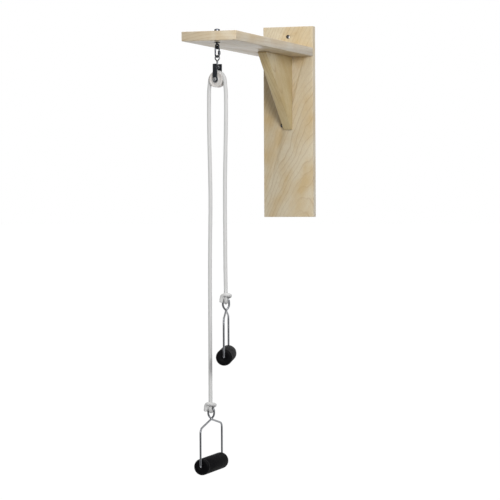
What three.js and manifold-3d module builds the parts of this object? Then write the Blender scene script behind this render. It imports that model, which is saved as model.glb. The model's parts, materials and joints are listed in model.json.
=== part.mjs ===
// Wall-mounted overhead exercise pulley: a wooden bracket, a rope pulley and two stirrup handles.
// Millimetres, +X right along the wall, +Y into the wall, +Z up.
// The origin is the centre of the back board's wall face.
import * as THREE from 'three';
import { mergeVertices } from 'three/addons/utils/BufferGeometryUtils.js';
import Module from 'manifold-3d';

const wasm = await Module();
wasm.setup();

// Clearances shared by all pieces
const gap = 0.3;
const overrun = 1;

// Boards of the bracket
const boardWidth = 114;
const boardThickness = 19;
const boardHeight = 418;
const armThickness = 19;
const armReach = 516;
const armDrop = 47;
const braceThickness = 19;
const braceReach = 183;
const braceDrop = 160;
const braceNose = 6;
const braceTip = 2.5;
const edgeEase = 0.8;

// Mounting holes through the back board
const wallHoleDiameter = 8;
const upperHoleDrop = 22;
const lowerHoleDrop = 216.5;
const lowerHoleOffset = 14;

// Countersunk wood screws that hold the boards together
const screwShank = 4;
const screwHead = 8;
const screwHeadDepth = 3;
const screwLength = 48;
const screwPoint = 6;
const screwSink = 0.5;
const armScrewMargin = 19;
const braceUpperScrewDrop = 50;
const braceLowerScrewDrop = 112;
const braceRearScrewReach = 40;
const braceFrontScrewReach = 128;

// Eye bolt, its nut and washers
const boltDiameter = 6;
const boltSetback = 50;
const boltEnd = 1;
const boltNeck = 0.4;
const eyeWire = 3.8;
const eyeBore = 4.6;
const eyeTurn = -30;
const washerDiameter = 12;
const washerThickness = 1.6;
const nutFlats = 10;
const nutHeight = 5.5;
const nutChamfer = 0.9;

// Quick link and the sleeve that closes it
const linkWire = 3;
const linkWidth = 10;
const linkHeight = 21;
const linkTurn = 60;
const linkOpening = 3.2;
const linkOpeningRise = 0.4;
const sleeveDiameter = 5.4;
const sleeveLength = 7.2;
const sleeveRise = 0.2;

// Hanger: an eye, a shank and a ring that swings on the cross rivet
const hangerWire = 2.6;
const hangerEyeWidth = 10;
const hangerHeight = 22.9;
const hangerShank = 3.6;
const hangerNeckHeight = 11;
const hangerShares = [[0, 0], [0.42, 0.22], [0.86, 0.42], [1, 0.6], [0.74, 0.87], [0, 1]];

// Pulley block
const blockTurn = -15;
const rivetSpacing = 24.3;
const cheekWidth = 9.8;
const cheekMargin = 6.6;
const cheekThickness = 1.8;
const cheekCorner = 1.5;
const crossRivet = 4;
const crossRivetHead = 6;
const crossRivetDome = 1;
const axleRivet = 5;
const axleRivetHead = 7.4;
const axleRivetDome = 1.5;
const bushingDiameter = 8;
const axleWasherDiameter = 14;
const axleWasherThickness = 0.6;
const sideGap = 0.2;
const spacerDiameter = 7;

// Sheave
const sheaveDiameter = 32;
const sheaveWidth = 13;
const sheaveHub = 13;
const sheaveRim = 2.6;
const sheaveRecess = 0.8;
const sheaveEdge = 0.6;
const grooveDepth = 6.1;
const grooveFlare = 0.7;

// Cotton rope. Route points are measured from the axle, across the block and up.
const ropeDiameter = 7.8;
const ropeBendRadius = 17.8;
const ropeLean = 4;
const longFallRoute = [
  [-20.1, -22], [-20.6, -52], [-20.7, -85], [-19.9, -140], [-18.6, -200], [-18.3, -250],
  [-19.6, -320], [-20.4, -380], [-20.7, -490], [-20.8, -560], [-20.8, -615], [-20.8, -640.2],
];
const shortFallRoute = [
  [20, -22], [20.4, -52], [20.1, -85], [18.7, -140], [17.1, -200], [16.7, -250],
  [16.8, -320], [17, -380], [17.4, -402], [17.6, -421.1],
];
const ropeSides = 10;
const ropeStep = 20;
const wrapStep = 5;

// Knot: a bight through the wire eye, half a turn about the standing part, and a tail down in front
const bightGap = 0.8;
const wrapGap = 0.5;
const knotRise = 4.8;
const knotClimb = 4.2;
const knotTurns = 0.42;
const knotBend = 8;
const knotOffset = 3.5;
const knotLeadIn = 40;
const knotNeck = 3;
const tailFold = 82;
const tailBend = 6.2;
const tailDrift = 1.5;
const tailLength = 10;
const knotStep = 2.8;
const knotSides = 8;

// Stirrup handles
const stirrupWire = 4;
const stirrupWidth = 127;
const stirrupHeight = 112;
const stirrupShoulderDrop = 36.5;
const stirrupCrossingDrop = 23;
const stirrupEyeWidth = 12.6;
const stirrupEyeThroat = 15;
const crossingGap = 0.8;
const shoulderBend = 10;
const footBend = 5;
const crossingBend = 4;
const throatBend = 2.4;
const stirrupInturn = 18;
const wireSides = 8;
const wireStep = 3.6;
const lowerHandleTurn = 0;
const upperHandleTurn = 15;

// Grips
const gripDiameter = 33;
const gripLength = 120;
const gripEase = 1.2;
const coreDiameter = 20;
const coreWall = 2;
const capRim = 6;
const capRound = 5;
const capSpigot = 11;

const half = (value) => value / 2;
const degrees = THREE.MathUtils.degToRad;
const at = (x, y, z) => new THREE.Vector3(x, y, z);

// Finishes
function finish(color, roughness, metalness) {
  return new THREE.MeshStandardMaterial({ color, roughness, metalness });
}
const wood = finish('#c9b48c', 0.5, 0);
const zinc = finish('#8f9296', 0.35, 1);
const chrome = finish('#b9bbbf', 0.15, 1);
const blackSteel = finish('#1d2023', 0.45, 0.6);
const nylon = finish('#ece9e4', 0.4, 0);
const cotton = finish('#c9c7c3', 0.9, 0);
const vinyl = finish('#141416', 0.25, 0);
const blackPlastic = finish('#1a1a1c', 0.3, 0);

// A closed geometry as a solid, and back again
function solidOf(geometry) {
  const bare = geometry.index ? geometry.toNonIndexed() : geometry.clone();
  bare.deleteAttribute('normal');
  bare.deleteAttribute('uv');
  const merged = mergeVertices(bare);
  return new wasm.Manifold(new wasm.Mesh({
    numProp: 3,
    vertProperties: Float32Array.from(merged.attributes.position.array),
    triVerts: Uint32Array.from(merged.index.array),
  }));
}

function geometryOf(solid) {
  const mesh = solid.getMesh();
  const geometry = new THREE.BufferGeometry();
  geometry.setAttribute('position', new THREE.BufferAttribute(mesh.vertProperties, 3));
  geometry.setIndex(new THREE.BufferAttribute(mesh.triVerts, 1));
  geometry.computeVertexNormals();
  return geometry;
}

function cut(geometry, ...cutters) {
  return geometryOf(cutters.reduce((solid, cutter) => solid.subtract(solidOf(cutter)), solidOf(geometry)));
}

function join(geometry, ...others) {
  return geometryOf(others.reduce((solid, other) => solid.add(solidOf(other)), solidOf(geometry)));
}

function piece(name, geometry, material) {
  const mesh = new THREE.Mesh(geometry, material);
  mesh.name = name;
  return mesh;
}

function placed(object, x, y, z) {
  object.position.set(x, y, z);
  return object;
}

function turned(object, angle) {
  object.rotation.z = degrees(angle);
  return object;
}

// A closed profile of [radius, height] points turned about +Z
function turnedProfile(points, sides) {
  const profile = points.map(([radius, height]) => new THREE.Vector2(radius, height));
  if (THREE.ShapeUtils.area(profile) < 0) {
    profile.reverse();
  }
  return new THREE.LatheGeometry(profile, sides).rotateX(degrees(90));
}

function ring(outerDiameter, innerDiameter, height, sides) {
  const outer = half(outerDiameter);
  const inner = half(innerDiameter);
  const side = half(height);
  return turnedProfile([[inner, -side], [outer, -side], [outer, side], [inner, side], [inner, -side]], sides);
}

function rod(diameter, height, sides) {
  return new THREE.CylinderGeometry(half(diameter), half(diameter), height, sides).rotateX(degrees(90));
}

// A round wire or rope swept along a curve
function sweep(curve, diameter, sides, step) {
  const section = new THREE.Shape();
  for (let side = 0; side < sides; side += 1) {
    const angle = 2 * Math.PI * side / sides;
    const x = half(diameter) * Math.cos(angle);
    const y = half(diameter) * Math.sin(angle);
    if (side === 0) {
      section.moveTo(x, y);
    } else {
      section.lineTo(x, y);
    }
  }
  const steps = Math.max(2, Math.round(curve.getLength() / step));
  return new THREE.ExtrudeGeometry(section, { steps, extrudePath: curve, bevelEnabled: false });
}

// An arc in the upright plane through X, about a centre at the given height
class UprightArc extends THREE.Curve {
  constructor(height, radius, from, through) {
    super();
    Object.assign(this, { height, radius, from, through });
  }

  getPoint(t, target = new THREE.Vector3()) {
    const angle = degrees(this.from + this.through * t);
    return target.set(this.radius * Math.cos(angle), 0, this.height + this.radius * Math.sin(angle));
  }
}

// Straight wire between corners, each corner bent over the given setback
function bentPath(corners) {
  const path = new THREE.CurvePath();
  let start = corners[0].point;
  for (let index = 1; index < corners.length - 1; index += 1) {
    const corner = corners[index].point;
    const before = corner.clone().sub(start).normalize();
    const after = corners[index + 1].point.clone().sub(corner).normalize();
    const enter = corner.clone().addScaledVector(before, -corners[index].bend);
    const leave = corner.clone().addScaledVector(after, corners[index].bend);
    if (enter.distanceTo(start) > gap) {
      path.add(new THREE.LineCurve3(start, enter));
    }
    path.add(new THREE.QuadraticBezierCurve3(enter, corner, leave));
    start = leave;
  }
  path.add(new THREE.LineCurve3(start, corners[corners.length - 1].point));
  return path;
}

// A board cut to an outline, its face edges eased
function board(outline, thickness) {
  const shape = new THREE.Shape(outline.map(([x, y]) => new THREE.Vector2(x, y)));
  const geometry = new THREE.ExtrudeGeometry(shape, {
    depth: thickness - 2 * edgeEase,
    bevelEnabled: true,
    bevelThickness: edgeEase,
    bevelSize: edgeEase,
    bevelOffset: -edgeEase,
    bevelSegments: 1,
  });
  return geometry.translate(0, 0, edgeEase);
}

// Places on the bracket
const boardTop = half(boardHeight);
const boardFront = -boardThickness;
const armTop = boardTop - armDrop;
const armUnderside = armTop - armThickness;
const armFront = boardFront - armReach;
const boltY = armFront + boltSetback;
const holeSides = 16;

// Wood screws: head at the top, point down
const screwSides = 10;
function screwProfile(clearance, above) {
  const shank = half(screwShank) + clearance;
  const head = half(screwHead) + clearance;
  return [
    [0, above], [head, above], [head, -clearance], [shank, -screwHeadDepth - clearance],
    [shank, screwPoint - screwLength], [0, -screwLength - clearance],
  ];
}
const screw = () => turnedProfile(screwProfile(0, 0), screwSides);
const screwHole = () => turnedProfile(screwProfile(gap, screwSink + overrun), screwSides);
const fromBehind = (geometry, x, z) => geometry.rotateX(degrees(-90)).translate(x, -screwSink, z);
const fromAbove = (geometry, y) => geometry.translate(0, y, armTop - screwSink);

const armScrewX = half(boardWidth) - armScrewMargin;
const armScrewZ = armTop - half(armThickness);
const armScrews = { left: -armScrewX, middle: 0, right: armScrewX };
const braceBackScrews = {
  upper: armUnderside - braceUpperScrewDrop,
  lower: armUnderside - braceLowerScrewDrop,
};
const braceTopScrews = { rear: boardFront - braceRearScrewReach, front: boardFront - braceFrontScrewReach };
const armScrewHoles = () => Object.values(armScrews).map((x) => fromBehind(screwHole(), x, armScrewZ));
const braceBackHoles = () => Object.values(braceBackScrews).map((z) => fromBehind(screwHole(), 0, z));
const braceTopHoles = () => Object.values(braceTopScrews).map((y) => fromAbove(screwHole(), y));

function rectangle(x0, y0, x1, y1) {
  return [[x0, y0], [x1, y0], [x1, y1], [x0, y1]];
}

function backBoard() {
  const outline = rectangle(-half(boardWidth), -boardTop, half(boardWidth), boardTop);
  const plain = board(outline, boardThickness).rotateX(degrees(90));
  const wallHole = (x, drop) => rod(wallHoleDiameter, boardThickness + 2 * overrun, holeSides)
    .rotateX(degrees(90)).translate(x, -half(boardThickness), boardTop - drop);
  return cut(
    plain,
    wallHole(0, upperHoleDrop),
    wallHole(-lowerHoleOffset, lowerHoleDrop),
    ...armScrewHoles(),
    ...braceBackHoles(),
  );
}

function armBoard() {
  const outline = rectangle(-half(boardWidth), armFront, half(boardWidth), boardFront);
  const plain = board(outline, armThickness).translate(0, 0, armUnderside);
  const boltHole = rod(boltDiameter + 2 * gap, armThickness + 2 * overrun, holeSides)
    .translate(0, boltY, armScrewZ);
  return cut(plain, boltHole, ...armScrewHoles(), ...braceTopHoles());
}

function brace() {
  const outline = [[0, 0], [0, -braceDrop], [braceNose, -braceDrop], [braceReach, -braceTip], [braceReach, 0]];
  const plain = board(outline, braceThickness).translate(0, 0, -half(braceThickness));
  const upright = new THREE.Matrix4().makeBasis(at(0, -1, 0), at(0, 0, 1), at(-1, 0, 0));
  plain.applyMatrix4(upright).translate(0, boardFront, armUnderside);
  return cut(plain, ...braceBackHoles(), ...braceTopHoles());
}

// Eye bolt
const eyeRadius = half(eyeBore) + half(eyeWire);
const eyeCentre = -washerThickness - boltNeck - eyeRadius - half(eyeWire);
const boltTop = armThickness + washerThickness + nutHeight + boltEnd;
const ringSteps = 20;

function eyeBolt() {
  const eye = new THREE.TorusGeometry(eyeRadius, half(eyeWire), wireSides, ringSteps).rotateX(degrees(90));
  eye.translate(0, 0, eyeCentre);
  const shankBottom = eyeCentre + eyeRadius;
  const shank = rod(boltDiameter, boltTop - shankBottom, holeSides);
  shank.translate(0, 0, half(boltTop + shankBottom));
  return join(eye, shank);
}

function hexNut() {
  const corner = half(nutFlats) / Math.cos(degrees(30));
  const prism = new THREE.CylinderGeometry(corner, corner, nutHeight, 6).rotateX(degrees(90));
  const side = half(nutHeight);
  const flat = half(nutFlats);
  const chamfer = turnedProfile([
    [0, -side], [flat, -side], [corner, nutChamfer - side], [corner, side - nutChamfer], [flat, side], [0, side],
  ], holeSides);
  const bore = rod(boltDiameter + 2 * gap, nutHeight + 2 * overrun, holeSides);
  const rounded = geometryOf(solidOf(prism).intersect(solidOf(chamfer)));
  return cut(rounded, bore);
}

const washer = () => ring(washerDiameter, boltDiameter + 2 * gap, washerThickness - gap, holeSides);

// Quick link: an oblong of wire, open in one straight side
const eyeBottom = eyeCentre - eyeRadius;
const linkTop = eyeBottom + half(eyeWire) + gap + half(linkWire);
const linkBottom = linkTop - linkHeight;
const linkRadius = half(linkWidth);
const linkStraight = linkHeight - linkWidth;
const sideBottom = linkBottom + linkRadius;
const sideTop = linkTop - linkRadius;

function quickLink() {
  const path = new THREE.CurvePath();
  const openingBottom = sideBottom + linkOpeningRise;
  const openingTop = openingBottom + linkOpening;
  path.add(new THREE.LineCurve3(at(linkRadius, 0, openingTop), at(linkRadius, 0, sideTop)));
  path.add(new UprightArc(sideTop, linkRadius, 0, 180));
  path.add(new THREE.LineCurve3(at(-linkRadius, 0, sideTop), at(-linkRadius, 0, sideBottom)));
  path.add(new UprightArc(sideBottom, linkRadius, 180, 180));
  path.add(new THREE.LineCurve3(at(linkRadius, 0, sideBottom), at(linkRadius, 0, openingBottom)));
  return sweep(path, linkWire, wireSides, half(linkWire));
}

const sleeve = () => ring(sleeveDiameter, linkWire + 2 * gap, sleeveLength, holeSides);

// Hanger
const hangerTop = linkBottom + half(linkWire) + gap + half(hangerWire);
const crossRivetZ = hangerTop - hangerHeight;
const axleZ = crossRivetZ - rivetSpacing;

function hanger() {
  const eyeHalf = (side) => {
    const points = hangerShares.map(([across, up]) => at(
      side * across * half(hangerEyeWidth),
      0,
      hangerNeckHeight + up * (hangerHeight - hangerNeckHeight),
    ));
    points.push(at(-side * gap, 0, hangerHeight));
    return sweep(new THREE.CatmullRomCurve3(points), hangerWire, wireSides, half(hangerWire));
  };
  const ringRadius = half(crossRivet) + gap + half(hangerWire);
  const lowerRing = new THREE.TorusGeometry(ringRadius, half(hangerWire), wireSides, ringSteps);
  lowerRing.rotateX(degrees(90));
  const shankTop = hangerNeckHeight + half(hangerWire);
  const shank = rod(hangerShank, shankTop - ringRadius, holeSides);
  shank.translate(0, 0, half(shankTop + ringRadius));
  return join(eyeHalf(1), eyeHalf(-1), lowerRing, shank);
}

// Block: two cheek straps on two rivets, with the sheave between them
const cheekInside = half(sheaveWidth) + axleWasherThickness + 2 * sideGap;
const cheekOutside = cheekInside + cheekThickness;

function cheek() {
  const radius = half(cheekWidth);
  const top = rivetSpacing + cheekMargin;
  const shape = new THREE.Shape();
  shape.absarc(0, 0, radius, Math.PI, 2 * Math.PI, false);
  shape.lineTo(radius, top - cheekCorner);
  shape.absarc(radius - cheekCorner, top - cheekCorner, cheekCorner, 0, half(Math.PI), false);
  shape.absarc(cheekCorner - radius, top - cheekCorner, cheekCorner, half(Math.PI), Math.PI, false);
  shape.closePath();
  const rivetHole = (height, diameter) => {
    const hole = new THREE.Path();
    hole.absarc(0, height, half(diameter) + gap, 0, 2 * Math.PI, true);
    return hole;
  };
  shape.holes.push(rivetHole(0, axleRivet), rivetHole(rivetSpacing, crossRivet));
  const options = { depth: cheekThickness, bevelEnabled: false, curveSegments: 8 };
  return new THREE.ExtrudeGeometry(shape, options).rotateX(degrees(90)).translate(0, half(cheekThickness), 0);
}

// A rivet along the block's depth with a low dome at each end
function rivet(shank, head, dome) {
  const seat = cheekOutside + gap;
  const shoulder = half(dome);
  return turnedProfile([
    [0, -seat - dome], [half(half(head)), -seat - dome], [half(head), -seat - shoulder], [half(head), -seat],
    [half(shank), -seat], [half(shank), seat], [half(head), seat], [half(head), seat + shoulder],
    [half(half(head)), seat + dome], [0, seat + dome],
  ], holeSides).rotateX(degrees(90));
}

const acrossBlock = (geometry) => geometry.rotateX(degrees(90));
const bushing = () => acrossBlock(ring(
  bushingDiameter,
  axleRivet + 2 * gap,
  2 * (cheekInside - gap),
  holeSides,
));
const axleWasher = () => acrossBlock(ring(
  axleWasherDiameter,
  bushingDiameter + 2 * gap,
  axleWasherThickness,
  holeSides,
));
const spacerLength = cheekInside - half(hangerWire) - 2 * gap;
const spacer = () => acrossBlock(ring(spacerDiameter, crossRivet + 2 * gap, spacerLength, holeSides));
const spacerCentre = half(hangerWire) + gap + half(spacerLength);
const axleWasherCentre = half(sheaveWidth) + sideGap + half(axleWasherThickness);

// Sheave: a rope groove between two rims, each side dished between hub and rim
const ropeRadius = half(ropeDiameter);
const grooveRadius = ropeRadius + gap;
const ropeRise = half(sheaveDiameter) - grooveDepth + grooveRadius;
const sheaveSides = 32;
const grooveSteps = 6;

function sheave() {
  const outer = half(sheaveDiameter);
  const side = half(sheaveWidth);
  const floor = side - sheaveRecess;
  const bore = half(bushingDiameter) + gap;
  const hub = half(sheaveHub);
  const rim = outer - sheaveRim;
  const face = [
    [bore, side], [hub, side], [hub + sheaveRecess, floor], [rim - sheaveRecess, floor], [rim, side],
    [outer - sheaveEdge, side], [outer, side - sheaveEdge], [outer, grooveRadius + grooveFlare],
  ];
  const groove = [];
  for (let step = 0; step <= grooveSteps; step += 1) {
    const angle = Math.PI * step / grooveSteps;
    groove.push([ropeRise - grooveRadius * Math.sin(angle), grooveRadius * Math.cos(angle)]);
  }
  const mirrored = face.map(([radius, along]) => [radius, -along]).reverse();
  return acrossBlock(turnedProfile([...face, ...groove, ...mirrored, face[0]], sheaveSides));
}

// Rope: an arc over the sheave, which leans outwards at its ends, and two falls
const ropeArcHeight = ropeRise - ropeBendRadius;
const ropeWrap = () => sweep(
  new UprightArc(ropeArcHeight, ropeBendRadius, 180 - ropeLean, 2 * ropeLean - 180),
  ropeDiameter,
  ropeSides,
  wrapStep,
);

function fall(route) {
  const side = Math.sign(route[0][0]);
  const lean = degrees(ropeLean);
  const points = [at(
    side * (ropeBendRadius * Math.cos(lean) + gap * Math.sin(lean)),
    0,
    ropeArcHeight + ropeBendRadius * Math.sin(lean) - gap,
  )];
  route.forEach(([across, up]) => points.push(at(across, 0, up)));
  return sweep(new THREE.CatmullRomCurve3(points), ropeDiameter, ropeSides, ropeStep);
}

// Knot. Its origin is the middle of the wire that the bight hangs on, and the wire runs along X there.
const bightRadius = half(stirrupWire) + bightGap + ropeRadius;
const wrapRadius = ropeDiameter + wrapGap;
const knotTop = knotRise + knotClimb + ropeRadius + knotNeck;
const knotPointSteps = 6;
const turnPointSteps = 16;
const tailPointSteps = 5;
const smooth = (share) => share * share * (3 - 2 * share);

function knotCurve() {
  const points = [at(0, -knotOffset, knotTop), at(0, -knotOffset, half(knotTop + knotBend))];
  for (let step = 0; step < knotPointSteps; step += 1) {
    const share = step / knotPointSteps;
    const inward = knotOffset + (bightRadius - knotOffset) * smooth(share);
    points.push(at(0, -inward, knotBend * (1 - share)));
  }
  for (let step = 0; step < 2 * knotPointSteps; step += 1) {
    const angle = Math.PI * (1 + half(step / knotPointSteps));
    points.push(at(0, bightRadius * Math.cos(angle), bightRadius * Math.sin(angle)));
  }
  const wind = (azimuth, radius, height) => at(
    radius * Math.cos(azimuth),
    radius * Math.sin(azimuth) - knotOffset,
    height,
  );
  const leadIn = degrees(knotLeadIn);
  for (let step = 0; step < knotPointSteps; step += 1) {
    const share = step / knotPointSteps;
    const angle = half(Math.PI) * share;
    const radius = bightRadius + knotOffset + (wrapRadius - bightRadius - knotOffset) * smooth(share);
    points.push(wind(half(Math.PI) - leadIn * (1 - Math.cos(angle)), radius, knotRise * Math.sin(angle)));
  }
  const start = half(Math.PI) - leadIn;
  const end = start - 2 * Math.PI * knotTurns;
  const turnPoints = Math.round(knotTurns * turnPointSteps);
  for (let step = 0; step <= turnPoints; step += 1) {
    const share = step / turnPoints;
    const height = knotRise + knotClimb * Math.sin(half(Math.PI) * share);
    points.push(wind(start + (end - start) * share, wrapRadius, height));
  }
  const onward = at(Math.sin(end), -Math.cos(end), 0);
  const front = points[points.length - 1];
  for (let step = 1; step <= tailPointSteps; step += 1) {
    const share = step / tailPointSteps;
    const angle = degrees(tailFold) * share;
    const fold = at(0, tailDrift * share, tailBend * (Math.cos(angle) - 1));
    points.push(front.clone().addScaledVector(onward, tailBend * Math.sin(angle)).add(fold));
  }
  const fold = degrees(tailFold);
  const down = at(0, 0, -Math.sin(fold)).addScaledVector(onward, Math.cos(fold));
  const folded = points[points.length - 1];
  [half(tailLength), tailLength].forEach((length) => {
    points.push(folded.clone().addScaledVector(down, length));
  });
  return new THREE.CatmullRomCurve3(points);
}

// The least space between two runs of the same rope
function leastGap(curve) {
  const spacing = half(ropeRadius);
  const points = curve.getSpacedPoints(Math.round(curve.getLength() / spacing));
  const apart = Math.ceil(1.5 * ropeDiameter / spacing);
  let least = Infinity;
  points.forEach((point, index) => {
    points.slice(index + apart).forEach((other) => {
      least = Math.min(least, point.distanceTo(other) - ropeDiameter);
    });
  });
  return least;
}

// Stirrup: one wire from foot to foot, with an eye at the top where its two sides cross
function stirrup() {
  const side = half(stirrupWidth);
  const eye = half(stirrupEyeWidth);
  const cross = half(stirrupWire + crossingGap);
  const nearHalf = [
    { point: at(0, stirrupInturn - side, -stirrupHeight) },
    { point: at(0, -side, -stirrupHeight), bend: footBend },
    { point: at(0, -side, -stirrupShoulderDrop), bend: shoulderBend },
    { point: at(0, -cross, -stirrupCrossingDrop), bend: crossingBend },
    { point: at(eye, 0, -stirrupEyeThroat), bend: throatBend },
    { point: at(eye, 0, 0), bend: eye },
  ];
  const turnedAbout = ({ point, bend }) => ({ point: at(-point.x, -point.y, point.z), bend });
  const farHalf = nearHalf.map(turnedAbout).reverse();
  return sweep(bentPath([...nearHalf, ...farHalf]), stirrupWire, wireSides, wireStep);
}

// Grip: foam on a core tube, with an end cap that turns on each foot of the stirrup
const capSteps = 3;
const gripSides = 24;
const coreLength = gripLength - 2 * (capRim + gap);

function endCap() {
  const outer = half(gripDiameter);
  const face = half(gripLength);
  const hole = half(stirrupWire) + gap;
  const spigot = half(coreDiameter) - coreWall - gap;
  const profile = [[hole, face]];
  for (let step = 0; step <= capSteps; step += 1) {
    const angle = half(Math.PI) * (1 - step / capSteps);
    profile.push([
      outer - capRound + capRound * Math.cos(angle),
      face - capRound + capRound * Math.sin(angle),
    ]);
  }
  profile.push(
    [outer, face - capRim], [spigot, face - capRim],
    [spigot, face - capRim - capSpigot], [hole, face - capRim - capSpigot], [hole, face],
  );
  return acrossBlock(turnedProfile(profile, gripSides));
}

function foamGrip() {
  const outer = half(gripDiameter);
  const inner = half(coreDiameter) + gap;
  const end = half(coreLength);
  return acrossBlock(turnedProfile([
    [inner, -end], [outer - gripEase, -end], [outer, gripEase - end],
    [outer, end - gripEase], [outer - gripEase, end], [inner, end], [inner, -end],
  ], gripSides));
}

const coreTube = () => acrossBlock(ring(coreDiameter, coreDiameter - 2 * coreWall, coreLength, gripSides));

function handle(name, turn, route) {
  const group = new THREE.Group();
  const curve = knotCurve();
  console.log(`${name}_knot: least gap between its turns ${leastGap(curve).toFixed(2)} mm`);
  group.add(piece(`${name}_knot`, sweep(curve, ropeDiameter, knotSides, knotStep), cotton));
  group.add(piece(`${name}_stirrup`, stirrup(), chrome));
  const grip = new THREE.Group();
  grip.add(piece(`${name}_core_tube`, coreTube(), blackPlastic));
  grip.add(piece(`${name}_foam_grip`, foamGrip(), vinyl));
  grip.add(piece(`${name}_cap_near`, endCap(), blackPlastic));
  grip.add(turned(piece(`${name}_cap_far`, endCap(), blackPlastic), 180));
  group.add(placed(grip, 0, 0, -stirrupHeight));
  const [across, up] = route[route.length - 1];
  turned(group, turn - blockTurn);
  const offset = at(0, knotOffset, 0).applyAxisAngle(at(0, 0, 1), degrees(turn - blockTurn));
  return placed(group, across + offset.x, offset.y, up - gap - knotTop);
}

const pulley = new THREE.Group();
pulley.add(
  piece('back_board', backBoard(), wood),
  piece('arm_board', armBoard(), wood),
  piece('brace', brace(), wood),
);
Object.entries(armScrews).forEach(([side, x]) => {
  pulley.add(piece(`arm_screw_${side}`, fromBehind(screw(), x, armScrewZ), zinc));
});
Object.entries(braceBackScrews).forEach(([side, z]) => {
  pulley.add(piece(`brace_back_screw_${side}`, fromBehind(screw(), 0, z), zinc));
});
Object.entries(braceTopScrews).forEach(([side, y]) => {
  pulley.add(piece(`brace_top_screw_${side}`, fromAbove(screw(), y), zinc));
});

// Everything below hangs at the eye bolt
const hangingPoint = placed(new THREE.Group(), 0, boltY, armUnderside);
pulley.add(hangingPoint);
const washerTop = armThickness + half(washerThickness);
hangingPoint.add(
  turned(piece('eye_bolt', eyeBolt(), blackSteel), eyeTurn),
  placed(piece('eye_bolt_nut', hexNut(), blackSteel), 0, 0, armThickness + washerThickness + half(nutHeight)),
  placed(piece('top_washer', washer(), blackSteel), 0, 0, washerTop),
  placed(piece('under_washer', washer(), blackSteel), 0, 0, -half(washerThickness)),
);
const linkGroup = turned(new THREE.Group(), linkTurn);
hangingPoint.add(linkGroup);
linkGroup.add(
  piece('quick_link', quickLink(), blackSteel),
  placed(piece('link_sleeve', sleeve(), blackSteel), linkRadius, 0, sideBottom + sleeveRise + half(sleeveLength)),
);
const blockGroup = turned(new THREE.Group(), blockTurn);
hangingPoint.add(blockGroup);
blockGroup.add(placed(piece('hanger', hanger(), chrome), 0, 0, crossRivetZ));
const axleGroup = placed(new THREE.Group(), 0, 0, axleZ);
blockGroup.add(axleGroup);
axleGroup.add(
  placed(piece('cheek_near', cheek(), blackSteel), 0, half(cheekThickness) - cheekOutside, 0),
  placed(piece('cheek_far', cheek(), blackSteel), 0, cheekOutside - half(cheekThickness), 0),
  piece('axle_rivet', rivet(axleRivet, axleRivetHead, axleRivetDome), zinc),
  piece('axle_bushing', bushing(), zinc),
  placed(piece('axle_washer_near', axleWasher(), zinc), 0, -axleWasherCentre, 0),
  placed(piece('axle_washer_far', axleWasher(), zinc), 0, axleWasherCentre, 0),
  placed(piece('cross_rivet', rivet(crossRivet, crossRivetHead, crossRivetDome), blackSteel), 0, 0, rivetSpacing),
  placed(piece('spacer_near', spacer(), zinc), 0, -spacerCentre, rivetSpacing),
  placed(piece('spacer_far', spacer(), zinc), 0, spacerCentre, rivetSpacing),
  piece('sheave', sheave(), nylon),
  piece('rope_wrap', ropeWrap(), cotton),
  piece('rope_long_fall', fall(longFallRoute), cotton),
  piece('rope_short_fall', fall(shortFallRoute), cotton),
  handle('lower', lowerHandleTurn, longFallRoute),
  handle('upper', upperHandleTurn, shortFallRoute),
);

export default pulley;
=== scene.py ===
"""Looks of a wall-mounted overhead exercise pulley, built round its solids, in metres."""
import json
import math
from functools import partial

import bmesh
import bpy
from bpy.props import FloatProperty, FloatVectorProperty, IntProperty, PointerProperty
from mathutils import Matrix, Vector


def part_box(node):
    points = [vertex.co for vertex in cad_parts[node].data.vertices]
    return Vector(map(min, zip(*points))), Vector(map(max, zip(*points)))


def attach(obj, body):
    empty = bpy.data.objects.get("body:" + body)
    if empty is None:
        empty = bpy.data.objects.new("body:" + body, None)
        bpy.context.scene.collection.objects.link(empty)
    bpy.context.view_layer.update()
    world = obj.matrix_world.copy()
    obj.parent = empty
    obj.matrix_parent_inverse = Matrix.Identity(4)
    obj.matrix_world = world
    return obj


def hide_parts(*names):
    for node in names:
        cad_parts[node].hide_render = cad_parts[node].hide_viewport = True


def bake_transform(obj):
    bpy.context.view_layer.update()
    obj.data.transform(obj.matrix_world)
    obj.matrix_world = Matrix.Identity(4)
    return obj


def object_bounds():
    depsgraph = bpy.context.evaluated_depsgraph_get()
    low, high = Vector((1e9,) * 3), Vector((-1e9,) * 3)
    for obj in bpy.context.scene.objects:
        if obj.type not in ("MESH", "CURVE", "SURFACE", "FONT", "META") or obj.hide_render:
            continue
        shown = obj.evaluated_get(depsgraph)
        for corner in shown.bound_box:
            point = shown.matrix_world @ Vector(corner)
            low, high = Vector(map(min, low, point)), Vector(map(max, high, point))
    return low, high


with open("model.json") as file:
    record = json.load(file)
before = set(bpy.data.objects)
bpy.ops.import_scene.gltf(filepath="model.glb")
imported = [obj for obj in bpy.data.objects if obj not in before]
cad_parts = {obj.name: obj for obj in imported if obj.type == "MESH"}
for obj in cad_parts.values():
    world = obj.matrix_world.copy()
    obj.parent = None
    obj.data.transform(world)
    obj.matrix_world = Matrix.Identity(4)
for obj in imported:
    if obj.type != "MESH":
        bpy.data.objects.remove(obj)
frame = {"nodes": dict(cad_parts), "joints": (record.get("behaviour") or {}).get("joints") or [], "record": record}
SOLIDS_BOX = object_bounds()

bl_info = {
    "name": "Overhead Exercise Pulley",
    "version": (1, 0, 0),
    "blender": (4, 5, 0),
    "location": "View3D > Sidebar > Pulley",
    "description": "Rope, wire, grips, wood and steel of a wall-mounted overhead pulley",
    "category": "Object",
}

MM = 0.001

# Lays what is turned about Z along Y
LAID = Matrix.Rotation(math.radians(-90), 4, "X")

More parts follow.
